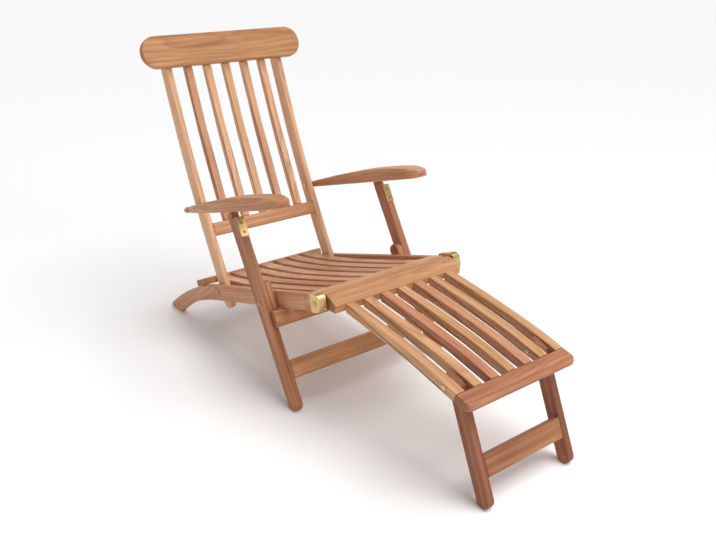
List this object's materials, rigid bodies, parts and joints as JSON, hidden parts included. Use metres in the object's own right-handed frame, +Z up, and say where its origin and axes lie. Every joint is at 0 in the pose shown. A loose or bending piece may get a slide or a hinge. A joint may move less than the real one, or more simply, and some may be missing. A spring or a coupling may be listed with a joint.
{
  "type": "steamer deck chair",
  "caption": "Folding slatted wooden deck chair with armrests, a curved high back, a round-ended headrest and a hinged footrest on its own legs.",
  "frame": {"origin": "centre of the bounding box in plan, on the ground under the chair", "axes": "+X along the chair from the back to the footrest, +Y across, +Z up; pieces named left lie on the -Y side"},
  "size_m": [1.4954, 0.59, 0.9112],
  "materials": {
    "teak": "oiled teak, satin",
    "teak_pale": "oiled teak, paler boards, satin",
    "teak_dark": "oiled teak, darker boards, satin",
    "brass": "lightly tarnished brass"
  },
  "bodies": {
    "seat": {"seat_rail_left": "teak", "seat_rail_right": "teak", "rear_foot_left": "teak", "rear_foot_right": "teak", "rear_crossbar": "teak", "front_board": "teak_pale", "seat_slat_1": "teak_pale", "seat_slat_2": "teak_pale", "seat_slat_3": "teak_pale", "seat_slat_4": "teak_pale", "seat_slat_5": "teak_pale", "seat_slat_6": "teak_pale", "seat_slat_7": "teak_pale", "hinge_block_left": "teak", "hinge_block_right": "teak", "hinge_cap_left": "brass", "hinge_cap_right": "brass", "footrest_pin_left": "brass", "footrest_pin_right": "brass", "leg_bolt_left": "brass", "leg_bolt_right": "brass"},
    "back_bolts": {"back_bolt_left": "brass", "back_bolt_right": "brass"},
    "back": {"back_stile_left": "teak", "back_stile_right": "teak", "headrest": "teak_dark", "lower_back_rail": "teak", "back_slat_1": "teak", "back_slat_2": "teak", "back_slat_3": "teak", "back_slat_4": "teak", "back_slat_5": "teak"},
    "arm_bolts": {"arm_bolt_left": "brass", "arm_bolt_right": "brass"},
    "arms": {"arm_left": "teak_dark", "arm_rack_left": "brass", "arm_right": "teak_dark", "arm_rack_right": "brass"},
    "legs": {"front_leg_left": "teak_dark", "front_leg_right": "teak_dark", "leg_crossbar_upper": "teak", "leg_crossbar_lower": "teak", "leg_spacer_left": "teak", "leg_spacer_right": "teak", "leg_catch_left": "brass", "leg_catch_right": "brass"},
    "footrest": {"footrest_rear_rail": "teak_pale", "footrest_rail_left": "teak_pale", "footrest_rail_right": "teak_pale", "footrest_slat_1": "teak_pale", "footrest_slat_2": "teak_pale", "footrest_slat_3": "teak_pale", "footrest_slat_4": "teak_pale", "footrest_slat_5": "teak_pale", "footrest_end_rail": "teak_dark", "footrest_leg_bolt_left": "brass", "footrest_leg_bolt_right": "brass"},
    "footrest_legs": {"footrest_leg_left": "teak_dark", "footrest_leg_right": "teak_dark", "footrest_leg_crossbar": "teak"}
  },
  "joints": [
    {"name": "leg_fold", "type": "hinge", "parent": "seat", "child": "legs", "pos_m": [-0.04515, 0, 0.26716], "axis": [0, 1, 0], "range_deg": [0, 82]},
    {"name": "back_fold", "type": "hinge", "parent": "seat", "child": "back_bolts", "pos_m": [-0.3448, 0, 0.16998], "axis": [0, 1, 0], "range_deg": [0, 82]},
    {"name": "back_recline", "type": "hinge", "parent": "back_bolts", "child": "back", "pos_m": [-0.3448, 0, 0.16998], "axis": [0, 1, 0], "range_deg": [-10, 0]},
    {"name": "arm_fold", "type": "hinge", "parent": "back", "child": "arm_bolts", "pos_m": [-0.48967, 0, 0.40491], "axis": [0, 1, 0], "range_deg": [-88, 0]},
    {"name": "arm_tilt", "type": "hinge", "parent": "arm_bolts", "child": "arms", "pos_m": [-0.48967, 0, 0.40491], "axis": [0, 1, 0], "range_deg": [0, 7.5]},
    {"name": "footrest_fold", "type": "hinge", "parent": "seat", "child": "footrest", "pos_m": [0.17668, 0, 0.35104], "axis": [0, 1, 0], "range_deg": [0, 78]},
    {"name": "footrest_leg_fold", "type": "hinge", "parent": "footrest", "child": "footrest_legs", "pos_m": [0.59812, 0, 0.28457], "axis": [0, 1, 0], "range_deg": [0, 118]}
  ],
  "couplings": [
    {"joint": "back_fold", "follows": "leg_fold", "ratio": 1},
    {"joint": "arm_fold", "follows": "leg_fold", "ratio": -1.07},
    {"joint": "arm_tilt", "follows": "back_recline", "ratio": -0.742}
  ]
}
